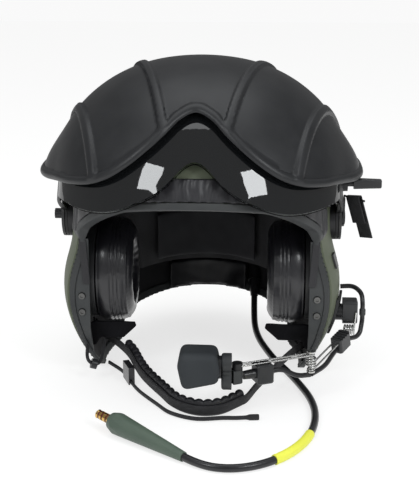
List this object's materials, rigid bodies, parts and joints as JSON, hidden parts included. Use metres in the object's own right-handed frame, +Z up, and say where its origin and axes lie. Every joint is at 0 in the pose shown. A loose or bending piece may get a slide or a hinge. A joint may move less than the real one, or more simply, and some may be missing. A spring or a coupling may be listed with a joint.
{
  "type": "pilot flight helmet",
  "caption": "Pilot flight helmet with a dual pivoting visor under a ribbed cover, padded lining, ear cups, microphone boom and a communications cord.",
  "frame": {"origin": "middle of the head space, between the ear cups", "axes": "+X to the wearer's left, -Y forward, +Z up"},
  "size_m": [0.284, 0.3571, 0.2684],
  "materials": {
    "shell_green": "matte textured paint over a laminate",
    "cover_black": "satin moulded",
    "trim_rubber": "matte",
    "flange_grey": "matte moulded",
    "visor_tinted": "polished smoke",
    "visor_clear": "polished clear",
    "black_metal": "satin black paint",
    "bright_steel": "bright drawn wire and turned parts",
    "black_plastic": "moulded, light gloss",
    "webbing": "woven nylon webbing",
    "leather": "smooth black leather",
    "liner_foam": "black lining over energy-absorbing foam",
    "pad_foam": "knit over foam",
    "mic_foam": "dark grey open-cell foam",
    "cable_black": "glossy jacket",
    "sleeve_yellow": "shrunk sleeve",
    "plug_green": "moulded, satin",
    "contact_gold": "gold-plated",
    "insulator_red": "glossy"
  },
  "bodies": {
    "helmet": {"shell": "shell_green", "edge_trim": "trim_rubber", "visor_cover": "cover_black", "cover_screws": "black_metal", "side_plates": "black_metal", "pivot_pins": "black_metal", "pivot_cap": "black_metal", "tab_hanger": "black_metal", "webbing_tab": "webbing", "impact_liner": "liner_foam", "brow_leather": "leather", "crown_pad": "pad_foam", "head_pads": "pad_foam", "nape_roll": "leather", "ear_cup_left": "black_plastic", "ear_cup_right": "black_plastic", "ear_cushion_left": "leather", "ear_cushion_right": "leather", "earphones": "black_plastic", "spacer_pads": "pad_foam", "front_flange_left": "flange_grey", "front_flange_right": "flange_grey", "flange_screws": "bright_steel", "harness_wings": "leather", "temple_straps": "webbing", "edge_clip": "black_metal", "chin_pad": "leather", "chin_strap": "webbing", "strap_tail": "webbing", "strap_keeper": "leather", "strap_studs": "black_metal", "bungee_loop": "webbing", "toggle": "black_plastic", "boom_bracket": "black_metal", "mic_cable_root": "cable_black", "cord": "cable_black", "cord_sleeve": "sleeve_yellow", "cord_gland": "cable_black", "plug_body": "plug_green", "plug_contacts": "contact_gold", "plug_insulators": "insulator_red"},
    "tinted_visor": {"tinted_visor": "visor_tinted", "lever_bracket": "black_metal", "lever_grip": "black_plastic"},
    "clear_visor": {"clear_visor": "visor_clear"},
    "lock_knob": {"lock_knob": "black_plastic"},
    "boom_hub": {"hub_housing": "black_plastic", "boom_coils": "bright_steel", "upper_wires": "bright_steel", "elbow_pin": "bright_steel", "clip_block": "black_plastic", "mic_cable_upper": "cable_black"},
    "boom_arm": {"lower_wires": "bright_steel", "connector_block": "black_plastic", "shrink_sleeve": "cable_black", "mic_knuckle": "black_metal", "mic_cable_lower": "cable_black"},
    "microphone": {"mic_collar": "trim_rubber", "mic_foam": "mic_foam", "mic_capsule": "black_plastic"}
  },
  "joints": [
    {"name": "tinted_visor_pivot", "type": "hinge", "parent": "helmet", "child": "tinted_visor", "pos_m": [0, 0, 0.052], "axis": [1, 0, 0], "range_deg": [0, 48]},
    {"name": "clear_visor_pivot", "type": "hinge", "parent": "helmet", "child": "clear_visor", "pos_m": [0, 0, 0.052], "axis": [1, 0, 0], "range_deg": [0, 48]},
    {"name": "lock_knob_turn", "type": "hinge", "parent": "helmet", "child": "lock_knob", "pos_m": [-0.123, 0, 0.052], "axis": [1, 0, 0], "range_deg": [-90, 90]},
    {"name": "boom_swing", "type": "hinge", "parent": "helmet", "child": "boom_hub", "pos_m": [0.124, -0.02, -0.026], "axis": [1, 0, 0], "range_deg": [-34, 0]},
    {"name": "elbow_turn", "type": "hinge", "parent": "boom_hub", "child": "boom_arm", "pos_m": [0.092, -0.085, -0.0455], "axis": [0, 0, 1], "range_deg": [-12, 20]},
    {"name": "microphone_turn", "type": "hinge", "parent": "boom_arm", "child": "microphone", "pos_m": [0.0335, -0.112, -0.045], "axis": [0, 0, 1], "range_deg": [-15, 15]}
  ]
}
